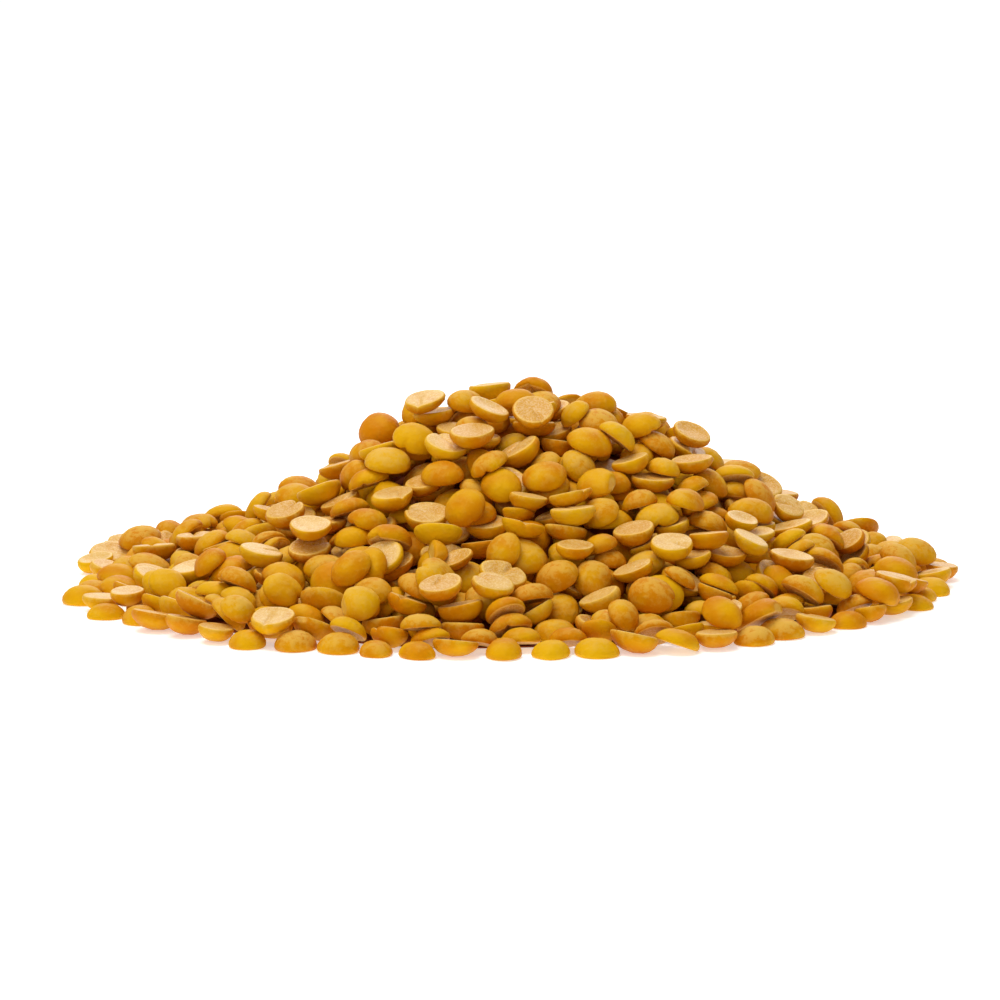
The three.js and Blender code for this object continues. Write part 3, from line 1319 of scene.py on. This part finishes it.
@dataclass
class Heap:
    """The whole heap: the core, and a joined piece for each kind of split."""

    rng: np.random.Generator
    form: HeapForm
    pieces: list[bpy.types.Object] = field(default_factory=list)

    def build(self) -> None:
        """Models the splits, pours them, and makes the pieces."""
        pouring = Pouring(self.form, self.rng)
        laid = pouring.lay()
        rests = pouring.settle(laid)
        kept = [(split, rest) for (split, _), rest in zip(laid, rests) if pouring.keeps(rest)]
        log.info("poured %d splits, %d stayed on the heap", len(laid), len(kept))
        finish = DalFinish().material("toor_dal")
        self.add_core()
        for kind in SplitKind:
            self.add_kind(kind, [pair for pair in kept if pair[0].kind is kind], finish)
        for split, _ in laid:
            bpy.data.meshes.remove(split.mesh)

    def add_core(self) -> None:
        """Makes the core's piece, which stands for the frame's heap."""
        mesh = bpy.data.meshes.new("heap_core")
        self.form.core.to_mesh(mesh)
        # the core is coloured as dal in painted shade
        core = self.add_piece("heap_core", mesh, CoreShadeFinish().material("packed_dal_in_painted_shade"))
        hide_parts(HEAP_NODE)

    def add_kind(self, kind: SplitKind, pairs: Laid, finish: bpy.types.Material) -> None:
        """Joins all splits of one kind into a piece.

        Args:
            kind: the kind.
            pairs: its splits and where they lie.
            finish: the material.
        """
        across = max(1, math.ceil(math.sqrt(len(pairs) / 2.0)))
        down = max(1, math.ceil(len(pairs) / across))
        joined = bmesh.new()
        for number, (split, rest) in enumerate(pairs):
            tile = np.array([2.0 * (number % across), number // across])
            self.move_tile(split.mesh, tile, np.array([2.0 * across, down]))
            split.mesh.transform(rest)
            self.dust_and_sheen_on_tops(split.mesh)
            joined.from_mesh(split.mesh)
        mesh = bpy.data.meshes.new(kind.value)
        joined.to_mesh(mesh)
        joined.free()
        piece = self.add_piece(kind.value, mesh, finish)
        rounding = piece.modifiers.new("rounding", "SUBSURF")
        rounding.levels = 1
        rounding.render_levels = 1
        log.info("%s: %d splits", kind.value, len(pairs))

    @staticmethod
    def move_tile(mesh: bpy.types.Mesh, tile: np.ndarray, sheet: np.ndarray) -> None:
        """Moves a split's part of the bake map to its own tile of the sheet.

        Args:
            mesh: the split's mesh.
            tile: the tile's lower left corner.
            sheet: the sheet's width and height in tiles.
        """
        layer = mesh.uv_layers[BAKE_MAP]
        spots = np.empty(2 * len(layer.uv), dtype=np.float32)
        layer.uv.foreach_get("vector", spots)
        moved = (spots.reshape(-1, 2) + tile) / sheet
        layer.uv.foreach_set("vector", moved.astype(np.float32).ravel())

    @staticmethod
    def dust_and_sheen_on_tops(mesh: bpy.types.Mesh) -> None:
        """Leaves a split's dust mostly on the sides that lie uppermost, so that these are paler: partly dust,
        partly a painted sheen from the overhead light.

        Args:
            mesh: the split's mesh, where it lies.
        """
        normals = np.empty(3 * len(mesh.vertices), dtype=np.float32)
        mesh.vertex_normals.foreach_get("vector", normals)
        dust_and_sheen = np.empty(len(mesh.vertices), dtype=np.float32)
        values = mesh.attributes["dust_and_sheen"].data
        values.foreach_get("value", dust_and_sheen)
        # paints the upper sides paler: partly dust, partly a painted sheen from the overhead light
        upward = np.clip((normals[2::3] + 0.1) / 0.9, 0.0, 1.0)
        values.foreach_set("value", dust_and_sheen * (0.2 + 0.8 * upward))

    def add_piece(self, name: str, mesh: bpy.types.Mesh, finish: bpy.types.Material) -> bpy.types.Object:
        """Adds a finished mesh to the object.

        Args:
            name: the piece's name.
            mesh: its mesh, in place.
            finish: its material.

        Returns:
            The piece.
        """
        mesh.materials.clear()
        mesh.materials.append(finish)
        piece = bpy.data.objects.new(name, mesh)
        bpy.context.scene.collection.objects.link(piece)
        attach(piece, BODY)
        self.pieces.append(piece)
        return piece


@dataclass
class Studio:
    """The table, the light and the camera."""

    crest: Vector
    image_size: int = 1000
    ground_pixel: tuple[float, float] = (519.0, 580.0)
    metres_per_pixel: float = 0.124 * MM
    distance: float = 0.6
    elevation: float = 9.5
    sensor: float = 36.0
    table_size: float = 6.0
    sky: Colour = (1.0, 0.995, 0.985, 1.0)
    sky_strength: float = 0.33

    def build(self) -> None:
        """Sets up the table, the lights, the world and the camera."""
        self.add_table()
        self.add_light("overhead", place=Vector((-0.12, 0.0, 0.60)), width=0.45, power=2.9)
        self.add_light("back_glow", place=Vector((0.3, 2.4, 1.3)), width=1.8, power=22.0)
        self.add_light("front_fill", place=Vector((-0.5, -1.0, 0.6)), width=0.8, power=2.8)
        self.add_world()
        self.add_camera()
        bpy.context.scene.view_settings.view_transform = "Standard"

    def add_table(self) -> None:
        """Adds the white table."""
        shape = bmesh.new()
        bmesh.ops.create_grid(shape, x_segments=8, y_segments=8, size=self.table_size)
        mesh = bpy.data.meshes.new("table")
        shape.to_mesh(mesh)
        shape.free()
        mesh.materials.append(TableFinish().material("white_table"))
        table = bpy.data.objects.new("table", mesh)
        bpy.context.scene.collection.objects.link(table)

    def add_light(self, name: str, place: Vector, width: float, power: float) -> None:
        """Adds a soft square light that faces the heap.

        Args:
            name: its name.
            place: where it hangs.
            width: its side.
            power: its power in watts.
        """
        light = bpy.data.lights.new(name, "AREA")
        light.size = width
        light.energy = power
        lamp = bpy.data.objects.new(name, light)
        lamp.location = place
        lamp.rotation_euler = (-place).to_track_quat("-Z", "Y").to_euler()
        bpy.context.scene.collection.objects.link(lamp)

    def add_world(self) -> None:
        """Surrounds the scene with white."""
        world = bpy.data.worlds.new("white_room")
        bpy.context.scene.world = world
        tree = NodeTree(world)
        light = {"Color": self.sky, "Strength": self.sky_strength}
        sky = tree.add("ShaderNodeBackground", None, light)
        tree.add("ShaderNodeOutputWorld", None, {"Surface": sky.value()})

    def add_camera(self) -> None:
        """Adds the camera, aimed so that the table under the crest falls on its pixel."""
        lift = math.radians(self.elevation)
        back = Vector((0.0, -math.cos(lift), math.sin(lift)))
        upward = Vector((0.0, math.sin(lift), math.cos(lift)))
        middle = self.image_size / 2.0
        aside = (middle - self.ground_pixel[0]) * self.metres_per_pixel
        above = (self.ground_pixel[1] - middle) * self.metres_per_pixel
        aim = Vector((aside, self.crest.y, 0.0)) + upward * above
        lens = bpy.data.cameras.new("camera")
        lens.sensor_width = self.sensor
        lens.lens = self.sensor * self.distance / (self.image_size * self.metres_per_pixel)
        camera = bpy.data.objects.new("camera", lens)
        camera.location = aim + back * self.distance
        camera.rotation_euler = (-back).to_track_quat("-Z", "Y").to_euler()
        bpy.context.scene.collection.objects.link(camera)
        bpy.context.scene.camera = camera


def main() -> None:
    """Builds the heap and the studio."""
    logging.basicConfig(level=logging.INFO, format="%(name)s: %(message)s")
    rng = np.random.default_rng(SEED)
    form = HeapForm(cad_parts[HEAP_NODE])
    heap = Heap(rng, form)
    heap.build()
    Studio(form.crest).build()
    for piece in heap.pieces:
        log.info("%s: %d faces in its cage", piece.name, len(piece.data.polygons))


if __name__ == "__main__":
    main()
